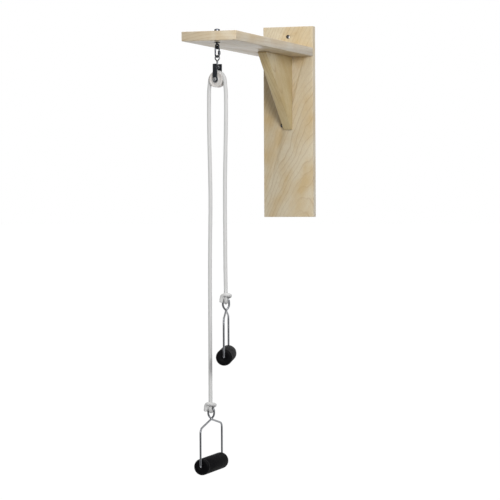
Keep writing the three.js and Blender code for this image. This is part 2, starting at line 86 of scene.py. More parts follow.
# Camera, fitted to a 500 pixel square photograph
IMAGE_SIZE = 500
FOCAL_PIXELS = 2094.01
SENSOR_MM = 36
CAMERA_PLACE = (1.3933, -4.4195, -0.16697)
CAMERA_YAW = 0.3252
CAMERA_PITCH = -0.0248
CAMERA_ROLL = -0.0050

# Rope: its bend over the sheave, which ends a little short of a quarter turn, and points of each fall,
# across the block and up from the axle
ROPE_BEND_RADIUS = 17.8 * MM
ROPE_RISE = 14.1 * MM
ROPE_LEAN_DEGREES = 4
ROPE_ARC_STEPS = 9
LONG_FALL = [
    (-0.0201, -0.022), (-0.0206, -0.052), (-0.0207, -0.085), (-0.0199, -0.14),
    (-0.0186, -0.2), (-0.0183, -0.25), (-0.0196, -0.32), (-0.0204, -0.38),
    (-0.0207, -0.49), (-0.0208, -0.56), (-0.0208, -0.615), (-0.0208, -0.6405),
]
SHORT_FALL = [
    (0.02, -0.022), (0.0204, -0.052), (0.0201, -0.085), (0.0187, -0.14),
    (0.0171, -0.2), (0.0167, -0.25), (0.0168, -0.32), (0.017, -0.38),
    (0.0174, -0.402), (0.0176, -0.4214),
]

# Braid: 8 strands lie each way round the girth of 24.5 mm, drawn as 6, a third coarser, so that they show
STRANDS = 6
STRAND_DEPTH = 0.35 * MM
ROPE_STEP = 0.8 * MM

# Knot: a bight through the wire eye, a little less than half a turn about the standing part, and a tail
# down in front
BIGHT_GAP = 0.8 * MM
WRAP_GAP = 0.5 * MM
KNOT_RISE = 4.8 * MM
KNOT_CLIMB = 4.2 * MM
KNOT_TURNS = 0.42
KNOT_BEND = 8 * MM
KNOT_OFFSET = 3.5 * MM
KNOT_LEAD_IN = math.radians(40)
KNOT_NECK = 3 * MM
TAIL_FOLD = math.radians(82)
TAIL_BEND = 6.2 * MM
TAIL_DRIFT = 1.5 * MM
TAIL_LENGTH = 10 * MM
TAIL_EASE = 1.4 * MM

# Stirrup wire
STIRRUP_WIDTH = 127 * MM
STIRRUP_HEIGHT = 112 * MM
SHOULDER_DROP = 36.5 * MM
CROSSING_DROP = 23 * MM
EYE_WIDTH = 12.6 * MM
EYE_THROAT = 15 * MM
CROSSING_GAP = 0.8 * MM
SHOULDER_BEND = 10 * MM
FOOT_BEND = 5 * MM
CROSSING_BEND = 4 * MM
THROAT_BEND = 5 * MM
STIRRUP_INTURN = 18 * MM
STIRRUP_STEP = 1.2 * MM
FOOT_EASE = 0.5 * MM

# Grip
GRIP_LENGTH = 120 * MM
GRIP_EASE = 1.2 * MM
CORE_DIAMETER = 20 * MM
CORE_WALL = 2 * MM
CAP_RIM = 6 * MM
CAP_ROUND = 5 * MM
CAP_SPIGOT = 11 * MM
CAP_DISH = 7 * MM
CAP_DISH_DEPTH = 2 * MM
CAP_DISH_FLAT = 1.5 * MM
CAP_DISH_TURN = 2.6 * MM
CAP_DISH_LIP = 0.9 * MM
CAP_EASE = 0.3 * MM
CLEARANCE = 0.3 * MM

# Sheave
SHEAVE_DIAMETER = 32 * MM
SHEAVE_WIDTH = 13 * MM
SHEAVE_HUB = 13 * MM
SHEAVE_BORE = 8.6 * MM
SHEAVE_RIM = 2.6 * MM
SHEAVE_RECESS = 0.8 * MM
SHEAVE_EDGE = 0.6 * MM
SHEAVE_SOFTNESS = 0.25 * MM
SHEAVE_SIDES = 96
GROOVE_RADIUS = 4.2 * MM
GROOVE_FLARE = 0.7 * MM

# Hanger: heights in millimetres above the cross rivet
HANGER_EYE = [
    (0, 11), (2.1, 13.6), (4.3, 16), (5, 18.14), (3.7, 21.35),
    (0, 22.9), (-3.7, 21.35), (-5, 18.14), (-4.3, 16), (-2.1, 13.6),
]
HANGER_RING_RADIUS = 3.6 * MM
HANGER_SHANK = 3.6 * MM
HANGER_NECK = 11.6 * MM

# Rivets: where the heads sit, the upright share of a dome's height, and each shank, head and dome
RIVET_SEAT = 9.6 * MM
RIVET_EDGE = 0.35
RIVET_STEPS = 9
CROSS_RIVET = (4 * MM, 6 * MM, 1 * MM)
AXLE_RIVET = (5 * MM, 7.4 * MM, 1.5 * MM)

# Quick link, its sleeve and the eye bolt
LINK_TURN = math.radians(60)
LINK_RADIUS = 5 * MM
LINK_OPENING = (0.4 * MM, 3.6 * MM)
LINK_STEPS = 24
LINK_EASE = 0.4 * MM
WIRE_STEP = 0.8 * MM
SLEEVE_DIAMETER = 5.4 * MM
SLEEVE_BORE = 3.6 * MM
SLEEVE_EASE = 0.5 * MM
SLEEVE_PLAIN = 0.85 * MM
SLEEVE_KNURLED = 1.1 * MM
SLEEVE_FLUTE = 0.94
EYE_TURN = math.radians(-30)
EYE_WIRE = 3.8 * MM
EYE_RADIUS = 4.2 * MM
BOLT_DIAMETER = 6 * MM
THREAD_PITCH = 1 * MM
THREAD_LENGTH = 30 * MM
THREAD_LEAST_END = 0.4 * MM
BOLT_TAPER = 1.2 * MM

# Sides of the turned shanks, and of the rivets and the sleeve
THREAD_SIDES = 32
SMALL_SIDES = 40

# Wood screws
SCREW_HEAD = 8 * MM
SCREW_HEAD_DEPTH = 3 * MM
SCREW_SHANK = 4 * MM
SCREW_POINT = 6 * MM
SCREW_EDGE = 0.15 * MM
SCREW_RIM = 0.2 * MM
SCREW_TIP = 0.3 * MM
SCREW_SIDES = 64
RECESS_REACH = 2.5 * MM
RECESS_WIDTH = 1.3 * MM
RECESS_DEPTH = 1.6 * MM

# Rounded edges of the solids that are dressed, and how near their doubled corners lie
BOARD_ROUNDING = 0.4 * MM
CHEEK_ROUNDING = 0.35 * MM
CORE_ROUNDING = 0.3 * MM
NUT_ROUNDING = 0.2 * MM
WASHER_ROUNDING = 0.15 * MM
THIN_ROUNDING = 0.12 * MM
WELD_DISTANCE = 0.02 * MM

# Background paper: half its length, how far it reaches in front of the back board, and its gap below the
# lower handle where the rope has run furthest down
FLOOR_SIZE = 30
FLOOR_FRONT = 0.95
FLOOR_GAP = 50 * MM

# Paper: its colour in the light, its own glow, and the share of the glow in what is seen
PAPER_COLOUR = "#B6B6B8"
PAPER_GLOW = 1.19
PAPER_GLOW_SHARE = 0.82

# Lamps: place, watts and width
LAMPS = [("key_lamp", (1.5, -2.75, 0.47), 43, 0.9), ("top_lamp", (0.25, -1.7, 2.1), 17, 1.1)]
LAMP_AIM = (0, -0.25, 0)

# Holes for the wall screws, across and up the back board
WALL_HOLES = [(0, 0.187), (-0.014, -0.0075)]
WALL_HOLE_RADIUS = 4 * MM


def linear(text):
    """An sRGB hex colour as the linear colour that a shader takes."""
    values = [int(text[index:index + 2], 16) / 255 for index in (1, 3, 5)]
    return [v / 12.92 if v <= 0.04045 else ((v + 0.055) / 1.055) ** 2.4 for v in values] + [1]


def length(name, description, millimetres, least=1):
    """A length that a user may change."""
    return FloatProperty(
        name=name, description=description, default=millimetres * MM, min=least * MM, unit="LENGTH",
        precision=4,
    )


def colour(name, description, text):
    """A colour that a user may change, from its sRGB hex value."""
    return FloatVectorProperty(
        name=name, description=description, default=linear(text), size=4, min=0, max=1, subtype="COLOR",
    )


class PulleySizes(bpy.types.PropertyGroup):
    """Sizes of the pieces that are made here."""

    rope: length("Rope", "Diameter of the braided rope", 7.8)
    stirrup_wire: length("Stirrup wire", "Diameter of the wire of a stirrup", 4)
    hanger_wire: length("Hanger wire", "Diameter of the wire of the hanger's eye and ring", 2.6)
    link_wire: length("Link wire", "Diameter of the wire of the quick link", 3)
    grip: length("Grip", "Outside diameter of a foam grip and its caps", 33, least=22)
    growth_ring: length("Growth ring", "Mean width of a growth ring in the boards", 6.5)
    turned_sides: IntProperty(name="Turned sides", description="Sides of a grip", default=72, min=12)
    wire_sides: IntProperty(name="Wire sides", description="Sides of a wire", default=28, min=8)
    rope_sides: IntProperty(
        name="Rope sides", description="Sides of the rope, six for each of its strands", default=36, min=12,
    )


class PulleyColours(bpy.types.PropertyGroup):
    """Colours of the finishes."""

    board: colour("Back board", "Early wood of the back board", "#E2D5B9")
    board_streak: colour("Back board streak", "Warm streaks of the back board", "#D6BC8C")
    arm: colour("Arm", "Early wood of the arm", "#DACDB4")
    arm_streak: colour("Arm streak", "Warm streaks of the arm", "#D0BB97")
    brace: colour("Brace", "Early wood of the brace", "#DBC897")
    brace_streak: colour("Brace streak", "Warm streaks of the brace", "#CCB178")
    late_wood: colour("Late wood", "Thin dark line that ends each growth ring", "#9C7038")
    cotton: colour("Cotton", "Strands of the rope", "#E3E3E2")
    nylon: colour("Nylon", "Sheave", "#E2DEDA")
    foam_skin: colour("Foam skin", "Skin of the foam grips", "#0A0A0C")
    cap_plastic: colour("Cap plastic", "End caps and core tubes", "#0D0D0F")
    black_paint: colour("Black paint", "Cheek straps and their cross rivet", "#2B2E34")
    black_zinc: colour("Black zinc", "Eye bolt, nut, its washers, quick link, sleeve and spacers", "#494B51")
    bright_zinc: colour("Bright zinc", "Screws, axle rivet, bushing and axle washers", "#D9DBDD")
    chrome: colour("Chrome", "Stirrups and hanger", "#929498")


def sizes():
    """The sizes as the user has them."""
    return bpy.context.scene.pulley_sizes


def colours():
    """The colours as the user has them."""
    return bpy.context.scene.pulley_colours


# Places, from the joints of the frame
def joint(name):
    """A joint's record."""
    return next(item for item in frame["joints"] if item["name"] == name)


def upright(origin, across):
    """A place whose X runs across and whose Z is up."""
    x, z = Vector(across).normalized(), Vector((0, 0, 1))
    return Matrix.Translation(Vector(origin)) @ Matrix((x, z.cross(x), z)).transposed().to_4x4()


def on_joint(name):
    """A place on a joint, whose X is level and square to the joint's axis, and whose Z is up."""
    found = joint(name)
    return upright(found["pos_m"], (found["axis"][1], -found["axis"][0], 0))


def handle_place(name):
    """Where a handle hangs in its knot, with X along the wire of its eye."""
    tilt = joint(f"{name}_tilt")
    return upright(tilt["pos_m"], tilt["axis"])


def on_bolt(turn):
    """A place on the eye bolt's line and at the frame's own height, turned about the line."""
    x, y, _ = joint("link_swing")["pos_m"]
    return Matrix.Translation((x, y, 0)) @ Matrix.Rotation(turn, 4, "Z")


# Paths
def smooth_path(points, step, closed=False):
    """A centripetal Catmull-Rom curve through the points, with a point about every step."""
    points = [Vector(point) for point in points]
    if closed:
        points = [points[-1], *points, points[0], points[1]]
    else:
        points = [2 * points[0] - points[1], *points, 2 * points[-1] - points[-2]]
    curve = []
    for index in range(1, len(points) - 2):
        p0, p1, p2, p3 = points[index - 1:index + 3]
        t1 = (p1 - p0).length ** 0.5
        t2 = t1 + (p2 - p1).length ** 0.5
        t3 = t2 + (p3 - p2).length ** 0.5
        count = max(4, round(2 * (p2 - p1).length / step))
        for part in range(count):
            t = t1 + (t2 - t1) * part / count
            a1 = p0.lerp(p1, t / t1)
            a2 = p1.lerp(p2, (t - t1) / (t2 - t1))
            a3 = p2.lerp(p3, (t - t2) / (t3 - t2))
            b1 = a1.lerp(a2, t / t2)
            b2 = a2.lerp(a3, (t - t1) / (t3 - t1))
            curve.append(b1.lerp(b2, (t - t1) / (t2 - t1)))
    curve.append(points[-2])
    curve = evenly(curve, step)
    return curve[:-1] if closed else curve


def evenly(points, step):
    """The same line, with a point about every step along it."""
    marks = [0.0]
    for before, after in zip(points, points[1:]):
        marks.append(marks[-1] + (after - before).length)
    count = max(2, round(marks[-1] / step))
    result, index = [], 0
    for part in range(count + 1):
        distance = marks[-1] * part / count
        while index < len(points) - 2 and marks[index + 1] < distance:
            index += 1
        share = (distance - marks[index]) / (marks[index + 1] - marks[index])
        result.append(points[index].lerp(points[index + 1], share))
    return result


def bent_path(corners, step):
    """Straight wire between corners, each bent over its setback."""
    result = [Vector(corners[0][0])]
    for index in range(1, len(corners) - 1):
        corner, setback = Vector(corners[index][0]), corners[index][1]
        enter = corner - (corner - result[-1]).normalized() * setback
        leave = corner + (Vector(corners[index + 1][0]) - corner).normalized() * setback
        count = max(6, round(4 * setback / step))
        for part in range(count + 1):
            share = part / count
            point = enter.lerp(corner, share).lerp(corner.lerp(leave, share), share)
            if (point - result[-1]).length > step / 100:
                result.append(point)
    result.append(Vector(corners[-1][0]))
    return evenly(result, step)


def arc_points(across, up, radius, start, end, steps):
    """Flat points on an arc about (across, up), from start to end degrees, where 0 is outward."""
    angles = [math.radians(90 - start - (end - start) * step / steps) for step in range(steps + 1)]
    # Angles are taken from the top, where a sine is exactly 0
    return [(across + radius * math.sin(a), up + radius * math.cos(a)) for a in angles]


def standing(points):
    """Flat (across, up) points as points in space."""
    return [Vector((across, 0, up)) for across, up in points]


def circle(radius, steps, height=0):
    """Points round an upright circle, from its top."""
    return standing(arc_points(0, height, radius, 90, -270, steps)[:-1])


def path_length(points):
    """The length of a line through the points."""
    return sum((after - before).length for before, after in zip(points, points[1:]))


# Meshes
def new_object(name, data):
    """An object of the data, in the scene."""
    made = bpy.data.objects.new(name, data)
    bpy.context.scene.collection.objects.link(made)
    return made


def new_piece(name, work, maker, body, nodes, sharp_angle=50):
    """Makes an object of the mesh, gives it its finish and, where one is named, its body, and hides the nodes that
    it stands for.
    """
    mesh = bpy.data.meshes.new(name)
    bmesh.ops.recalc_face_normals(work, faces=work.faces)
    work.to_mesh(mesh)
    work.free()
    mesh.shade_smooth()
    mesh.set_sharp_from_angle(angle=math.radians(sharp_angle))
    piece = new_object(name, mesh)
    mesh.materials.append(finish(maker))
    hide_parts(*nodes)
    if body:
        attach(piece, body)
    return piece


def braid(around, along):
    """How far the rope's skin lies below its crests, around in turns and along in girths."""
    one, other = STRANDS * (around - along), STRANDS * (around + along)
    crossing = (one, other) if math.floor(one) % 2 == math.floor(other) % 2 else (other, one)
    across, onward = (abs(value % 1 - 0.5) * 2 for value in crossing)
    # Three quarters of the depth round a strand, and a quarter where it dips under the next
    return STRAND_DEPTH * (0.75 * (1 - math.sqrt(1 - across ** 2)) + 0.25 * onward ** 2)


def tube(points, diameter, sides, place=Matrix(), closed=False, end_ease=0.0, relief=None, work=None):
    """Sweeps a round section along the points of place, into work or a new mesh. Its UV counts turns round
    it, and girths along it."""
    points = [place @ point for point in points]
    work = work or bmesh.new()
    uv = work.loops.layers.uv.get("lay") or work.loops.layers.uv.new("lay")
    count = len(points)
    tangents = []
    for index, point in enumerate(points):
        before = points[index - 1] if index or closed else point
        after = points[(index + 1) % count] if index + 1 < count or closed else point
        tangents.append((after - before).normalized())
    side = tangents[0].orthogonal().normalized()
    total = path_length(points)
    turns = [2 * math.pi * part / sides for part in range(sides)]
    rings, marks, travelled = [], [], 0.0
    for index, (point, tangent) in enumerate(zip(points, tangents)):
        if index:
            travelled += (point - points[index - 1]).length
            side = tangents[index - 1].rotation_difference(tangent) @ side
            side = (side - tangent * side.dot(tangent)).normalized()
        up = tangent.cross(side)
        radius = diameter / 2
        to_end = total - travelled
        if to_end < end_ease:
            radius -= end_ease * (1 - math.sqrt(1 - (1 - to_end / end_ease) ** 2))
        along = travelled / (math.pi * diameter)
        ring = []
        for a in turns:
            skin = radius - relief(a / (2 * math.pi), along) if relief else radius
            ring.append(work.verts.new(point + (side * math.cos(a) + up * math.sin(a)) * skin))
        rings.append(ring)
        marks.append(along)
    if closed:
        rings.append(rings[0])
        marks.append((travelled + (points[0] - points[-1]).length) / (math.pi * diameter))
    for index in range(len(rings) - 1):
        for part in range(sides):
            after = (part + 1) % sides
            face = work.faces.new((
                rings[index][part], rings[index][after], rings[index + 1][after], rings[index + 1][part],
            ))
            corners = ((part, index), (part + 1, index), (part + 1, index + 1), (part, index + 1))
            for loop, (around, along) in zip(face.loops, corners):
                loop[uv].uv = (around / sides, marks[along])
    if not closed:
        work.faces.new(rings[0][::-1])
        work.faces.new(rings[-1])
    return work


def turn_profile(profile, sides, place, reshape=None, work=None):
    """Turns a closed profile of (radius, height) points about the Z of place, into work or a new mesh.
    Reshape moves single points."""
    work = work or bmesh.new()
    rings = []
    for radius, height in profile:
        ring = []
        for part in range(sides if radius else 1):
            angle = 2 * math.pi * part / sides
            point = Vector((radius * math.cos(angle), radius * math.sin(angle), height))
            if reshape:
                point = reshape(point)
            ring.append(work.verts.new(place @ point))
        rings.append(ring)
    for ring, other in zip(rings, rings[1:] + rings[:1]):
        for part in range(sides):
            after = (part + 1) % sides
            if len(ring) > 1 and len(other) > 1:
                work.faces.new((ring[part], ring[after], other[after], other[part]))
            elif len(ring) > 1:
                work.faces.new((ring[part], ring[after], other[0]))
            elif len(other) > 1:
                work.faces.new((ring[0], other[after], other[part]))
    return work


def mirrored(profile):
    """The profile's other half, back from its far end."""
    return [(radius, -height) for radius, height in reversed(profile)]


def soften(profile, size, steps=3):
    """The open profile with every corner between its ends rounded to about the size."""
    result = [profile[0]]
    for before, corner, after in zip(profile, profile[1:], profile[2:]):
        before, here, after = Vector(before), Vector(corner), Vector(after)
        setback = min(size, (before - here).length / 2.1, (after - here).length / 2.1)
        enter = here + (before - here).normalized() * setback
        leave = here + (after - here).normalized() * setback
        for part in range(steps + 1):
            share = part / steps
            result.append(tuple(enter.lerp(here, share).lerp(here.lerp(leave, share), share)))
    return [*result, profile[-1]]


# Finishes
def finish(maker):
    """The material whose surface the maker function gives, made once and named after it."""
    made = bpy.data.materials.get(maker.__name__)
    if not made:
        made = bpy.data.materials.new(maker.__name__)
        made.use_nodes = True
        made.node_tree.nodes.clear()
        add = partial(add_node, made.node_tree)
        add("ShaderNodeOutputMaterial", {"Surface": maker(add)}, out=None)
    return made


def add_node(tree, kind, inputs=None, stops=(), out=0, **settings):
    """Adds a node with its settings and links, and gives its output, or all of them where out is None.
    An input is a value or another node's output, and stops are a ramp's. Sockets that share a name go by
    number: a mix takes 0 for its factor, 2 and 3 for values, 6 and 7 for colours."""
    node = tree.nodes.new(kind)
    for name, value in settings.items():
        setattr(node, name, value)
    for name, value in (inputs or {}).items():
        if isinstance(value, bpy.types.NodeSocket):
            tree.links.new(value, node.inputs[name])
        else:
            node.inputs[name].default_value = value
    for index, (position, level) in enumerate(stops):
        elements = node.color_ramp.elements
        if index == len(elements) - 1 and index < len(stops) - 1:
            elements.new(position)
        elements[index].position = position
        elements[index].color = (level, level, level, 1)
    return node.outputs if out is None else node.outputs[out]


def shade(color, factor):
    """A darker or lighter tone of a colour."""
    return [min(1, channel * factor) for channel in color[:3]] + [1]


def edge_mask(add, radius):
    """1 on edges, within the radius, and 0 on the flat."""
    soft = add("ShaderNodeBevel", {"Radius": radius}, samples=6)
    true = add("ShaderNodeNewGeometry", out="Normal")
    match = add("ShaderNodeVectorMath", {0: soft, 1: true}, operation="DOT_PRODUCT", out="Value")
    return add("ShaderNodeMapRange", {"Value": match, 1: 0.8, 2: 0.985, 3: 1, 4: 0})


def maple(add, turn, shift, early, streak, wander, late_share, holes=()):
    """Planed maple under a thin satin varnish. It gives pale wood with thin brown lines where the saw cut the
    growth rings, short silky fibres along the trunk, worn pale edges, and a grey sheen at a low angle."""
    place = add("ShaderNodeTexCoord", out="Object")
    log = add("ShaderNodeMapping", {
        "Vector": place, "Location": shift, "Rotation": [math.radians(angle) for angle in turn],
    })
    across = add("ShaderNodeVectorMath", {0: log, 1: (1, 1, 0)}, operation="MULTIPLY")
    radius = add("ShaderNodeVectorMath", {0: across}, operation="LENGTH", out="Value")
    # Rings wander over a hand's width and ripple over a finger's, both drawn out along the trunk
    drawn = add("ShaderNodeMapping", {"Vector": log, "Scale": (1, 1, 0.5)})
    for size, amount in ((80 * MM, wander), (22 * MM, wander / 5)):
        wave = add("ShaderNodeTexNoise", {"Vector": drawn, "Scale": 1 / size, "Detail": 2})
        radius = add("ShaderNodeMath", {0: wave, 1: amount, 2: radius}, operation="MULTIPLY_ADD")
    ring = add("ShaderNodeMath", {0: radius, 1: sizes().growth_ring}, operation="DIVIDE")
    ring = add("ShaderNodeMath", {0: ring}, operation="FRACT")
    late = add("ShaderNodeValToRGB", {0: ring}, [
        (0.0, 0.35), (0.05, 0.0), (0.6, 0.04), (0.84, 0.22), (0.93, 0.9), (0.97, 1.0), (1.0, 0.35),
    ])
    # Fibres are drawn 0.9 mm across, several times the real ones, so that they show
    fibre_place = add("ShaderNodeMapping", {"Vector": log, "Scale": (1, 1, 0.04)})
    fibre = add("ShaderNodeTexNoise", {
        "Vector": fibre_place, "Scale": 1 / (0.9 * MM), "Detail": 3, "Roughness": 0.6,
    })
    patch = add("ShaderNodeTexNoise", {"Vector": drawn, "Scale": 1 / (38 * MM), "Detail": 3})
    patch = add("ShaderNodeMapRange", {"Value": patch, 1: 0.38, 2: 0.66, 3: 0, 4: 0.9})
    color = add("ShaderNodeMix", {0: patch, 6: early, 7: streak}, data_type="RGBA", out=2)
    fade = add("ShaderNodeTexNoise", {"Vector": drawn, "Scale": 1 / (55 * MM), "Detail": 1})
    fade = add("ShaderNodeMapRange", {"Value": fade, 1: 0.38, 2: 0.6, 3: 0.15, 4: late_share})
    late_amount = add("ShaderNodeMath", {0: late, 1: fade}, operation="MULTIPLY")
    late_wood = colours().late_wood
    color = add("ShaderNodeMix", {0: late_amount, 6: color, 7: late_wood}, data_type="RGBA", out=2)
    dark = add("ShaderNodeMapRange", {"Value": fibre, 1: 0.42, 2: 0.72, 3: 0, 4: 0.3})
    color = add("ShaderNodeMix", {0: dark, 6: color, 7: shade(streak, 0.72)}, data_type="RGBA", out=2)
    worn = add("ShaderNodeMath", {0: edge_mask(add, 1.2 * MM), 1: 0.45}, operation="MULTIPLY")
    color = add("ShaderNodeMix", {0: worn, 6: color, 7: shade(early, 1.12)}, data_type="RGBA", out=2)
    # A drilled hole's wall is bare of varnish, and painted near-black as painted shade deep in the hole
    varnish = 0.45
    for x, z in holes:
        offset = add("ShaderNodeVectorMath", {0: place, 1: (x, 0, z)}, operation="SUBTRACT")
        level = add("ShaderNodeVectorMath", {0: offset, 1: (1, 0, 1)}, operation="MULTIPLY")
        distance = add("ShaderNodeVectorMath", {0: level}, operation="LENGTH", out="Value")
        inside = add("ShaderNodeMapRange", {
            "Value": distance, 1: WALL_HOLE_RADIUS * 1.01, 2: WALL_HOLE_RADIUS * 1.12, 3: 0.97, 4: 0,
        })
        painted_hole_shade = shade(late_wood, 0.06)
        color = add("ShaderNodeMix", {0: inside, 6: color, 7: painted_hole_shade}, data_type="RGBA", out=2)
        varnish = add("ShaderNodeMix", {0: inside, 2: varnish, 3: 0.0})
    rough = add("ShaderNodeMapRange", {"Value": fibre, 1: 0.3, 2: 0.7, 3: 0.44, 4: 0.6})
    grain = add("ShaderNodeMath", {0: late, 1: 0.4, 2: fibre}, operation="MULTIPLY_ADD")
    bump = add("ShaderNodeBump", {"Height": grain, "Strength": 0.35, "Distance": 0.12 * MM})
    return add("ShaderNodeBsdfPrincipled", {
        "Base Color": color, "Roughness": rough, "Normal": bump, "IOR": 1.5,
        "Coat Weight": varnish, "Coat Roughness": 0.2,
    })


def planed_maple_back_board(add):
    """Maple sawn flat from beside a crooked heart: wandering lines that lean to the right."""
    return maple(
        add, (9, -18, 0), (-0.1, -0.08, 2.9), colours().board, colours().board_streak,
        wander=30 * MM, late_share=0.34, holes=WALL_HOLES,
    )


def planed_maple_arm(add):
    """Maple with the heart under the board: level ring lines on its end, straight grain along its sides."""
    return maple(
        add, (89, 0, 2), (-0.02, -0.07, 0), colours().arm, colours().arm_streak,
        wander=7 * MM, late_share=0.4,
    )


def planed_maple_brace(add):
    """Maple with its grain along the sloping edge."""
    return maple(
        add, (-46, 6, 0), (-0.055, 0.02, 0), colours().brace, colours().brace_streak,
        wander=7 * MM, late_share=0.45,
    )


def braided_cotton(add):
    """Solid braided cotton cord of 16 strands. It gives small soft diamonds, with painted shade in the seams
    between strands, a fuzzy edge, and no shine."""
    # The same strands as in braid()
    lay = add("ShaderNodeUVMap", uv_map="lay")
    diagonal = STRANDS * math.sqrt(2)
    ways = add("ShaderNodeMapping", {
        "Vector": lay, "Rotation": (0, 0, math.radians(45)), "Scale": (diagonal, diagonal, 1),
    })
    axes = add("ShaderNodeSeparateXYZ", {0: ways}, out=None)
    over = add("ShaderNodeTexChecker", {"Vector": ways, "Scale": 1}, out="Fac")
    one = add("ShaderNodeMath", {0: axes[0], 1: 0.5}, operation="PINGPONG")
    other = add("ShaderNodeMath", {0: axes[1], 1: 0.5}, operation="PINGPONG")
    strand = add("ShaderNodeMix", {0: over, 2: one, 3: other})
    height = add("ShaderNodeValToRGB", {0: strand}, [(0.0, 0.0), (0.12, 0.55), (0.3, 0.92), (0.5, 1.0)])
    place = add("ShaderNodeTexCoord", out="Object")
    # Fuzz is drawn 0.5 mm, coarser than cotton fibres, so that it shows
    fuzz = add("ShaderNodeTexNoise", {"Vector": place, "Scale": 1 / (0.5 * MM), "Detail": 3})
    soil = add("ShaderNodeTexNoise", {"Vector": place, "Scale": 1 / (30 * MM), "Detail": 2})
    cotton = colours().cotton
    # Painted shade: the cotton is darkened to 0.6 in the seams between strands, and full on their crests
    color = add("ShaderNodeMix", {0: height, 6: shade(cotton, 0.6), 7: cotton}, data_type="RGBA", out=2)
    soil = add("ShaderNodeMapRange", {"Value": soil, 1: 0.4, 2: 0.75, 3: 0, 4: 0.2})
    color = add("ShaderNodeMix", {0: soil, 6: color, 7: shade(cotton, 0.86)}, data_type="RGBA", out=2)
    bump = add("ShaderNodeBump", {"Height": fuzz, "Strength": 0.5, "Distance": 0.15 * MM})
    return add("ShaderNodeBsdfPrincipled", {
        "Base Color": color, "Roughness": 0.92, "Normal": bump, "IOR": 1.53, "Specular IOR Level": 0.2,
        "Sheen Weight": 0.25, "Sheen Roughness": 0.5,
    })


def clouded(add, size, smooth, rough, detail=4):
    """An object's place, a cloud pattern on it, and a roughness that follows the cloud."""
    place = add("ShaderNodeTexCoord", out="Object")
    cloud = add("ShaderNodeTexNoise", {"Vector": place, "Scale": 1 / size, "Detail": detail})
    return place, cloud, add("ShaderNodeMapRange", {"Value": cloud, 1: 0.3, 2: 0.7, 3: smooth, 4: rough})


def steel(add, color, roughness, spread, scratch, worn_color, metallic=1.0):
    """The common build of the metal finishes: a roughness that varies over the piece, fine scratches, and
    edges where the finish has worn through."""
    place, cloud, rough = clouded(add, 6 * MM, roughness - spread, roughness + spread)
    # Scratches are drawn 0.25 mm wide, wider than handling marks, so that they show
    marks = add("ShaderNodeMapping", {"Vector": place, "Scale": (1, 1, 0.12)})
    marks = add("ShaderNodeTexNoise", {"Vector": marks, "Scale": 1 / (0.25 * MM), "Detail": 2})
    tone = add("ShaderNodeMapRange", {"Value": cloud, 1: 0.35, 2: 0.75, 3: 0, 4: 0.6})
    base = add("ShaderNodeMix", {0: tone, 6: color, 7: shade(color, 0.8)}, data_type="RGBA", out=2)
    worn = add("ShaderNodeMath", {0: edge_mask(add, 0.3 * MM), 1: marks}, operation="MULTIPLY")
    base = add("ShaderNodeMix", {0: worn, 6: base, 7: worn_color}, data_type="RGBA", out=2)
    bump = add("ShaderNodeBump", {"Height": marks, "Strength": scratch, "Distance": 0.03 * MM})
    return add("ShaderNodeBsdfPrincipled", {
        "Base Color": base, "Metallic": metallic, "Roughness": rough, "Normal": bump,
    })


def chrome_plated_wire(add):
    """Drawn steel wire, bent, chrome plated and dulled by use. It gives soft light and dark lines along the
    wire."""
    return steel(add, colours().chrome, 0.34, 0.04, 0.05, shade(colours().chrome, 1.3))


def bright_zinc_steel(add):
    """Turned and stamped steel, zinc plated. It gives a pale bluish grey with a soft, cloudy shine."""
    return steel(add, colours().bright_zinc, 0.48, 0.08, 0.3, shade(colours().bright_zinc, 1.2))


def black_zinc_steel(add):
    """Bent and forged steel, zinc plated and dyed black. It gives a dark metal with bright streaks of
    light."""
    return steel(add, colours().black_zinc, 0.28, 0.07, 0.25, shade(colours().bright_zinc, 0.55))


def painted_black_steel(add):
    """Pressed steel straps with a baked black paint. It gives a satin black with small dull highlights, and
    grey steel at the worn edges."""
    return steel(add, colours().black_paint, 0.4, 0.06, 0.2, shade(colours().bright_zinc, 0.35), metallic=0.0)


def moulded_nylon(add):
    """Injection-moulded natural nylon. It gives a milky off-white with a soft shine, a fine grain from the
    mould, and faint grey dust."""
    place, cloud, rough = clouded(add, 7 * MM, 0.36, 0.5)
    # Grain is drawn 0.4 mm, about twice the mould's
    grain = add("ShaderNodeTexNoise", {"Vector": place, "Scale": 1 / (0.4 * MM), "Detail": 2})
    dust = add("ShaderNodeMapRange", {"Value": cloud, 1: 0.4, 2: 0.8, 3: 0, 4: 0.5})
    nylon = colours().nylon
    color = add("ShaderNodeMix", {0: dust, 6: nylon, 7: shade(nylon, 0.82)}, data_type="RGBA", out=2)
    bump = add("ShaderNodeBump", {"Height": grain, "Strength": 0.2, "Distance": 0.05 * MM})
    return add("ShaderNodeBsdfPrincipled", {
        "Base Color": color, "Roughness": rough, "Normal": bump, "IOR": 1.53,
        "Subsurface Weight": 0.15, "Subsurface Radius": (1, 0.9, 0.8), "Subsurface Scale": 0.8 * MM,
    })


def skinned_foam(add):
    """Nitrile foam tube with a smooth moulded skin. It gives a deep soft black with a faint leather-like
    dimpling and a broad dull highlight."""
    place, cloud, rough = clouded(add, 12 * MM, 0.42, 0.58)
    # Dimples are drawn 1.2 mm, a little larger than the foam's cells
    cells = add("ShaderNodeTexVoronoi", {"Vector": place, "Scale": 1 / (1.2 * MM)}, out="Distance")
    tone = add("ShaderNodeMapRange", {"Value": cloud, 1: 0.35, 2: 0.75, 3: 0, 4: 1})
    skin = colours().foam_skin
    color = add("ShaderNodeMix", {0: tone, 6: skin, 7: shade(skin, 1.7)}, data_type="RGBA", out=2)
    bump = add("ShaderNodeBump", {"Height": cells, "Strength": 0.25, "Distance": 0.12 * MM})
    return add("ShaderNodeBsdfPrincipled", {
        "Base Color": color, "Roughness": rough, "Normal": bump, "IOR": 1.5, "Specular IOR Level": 0.007,
    })


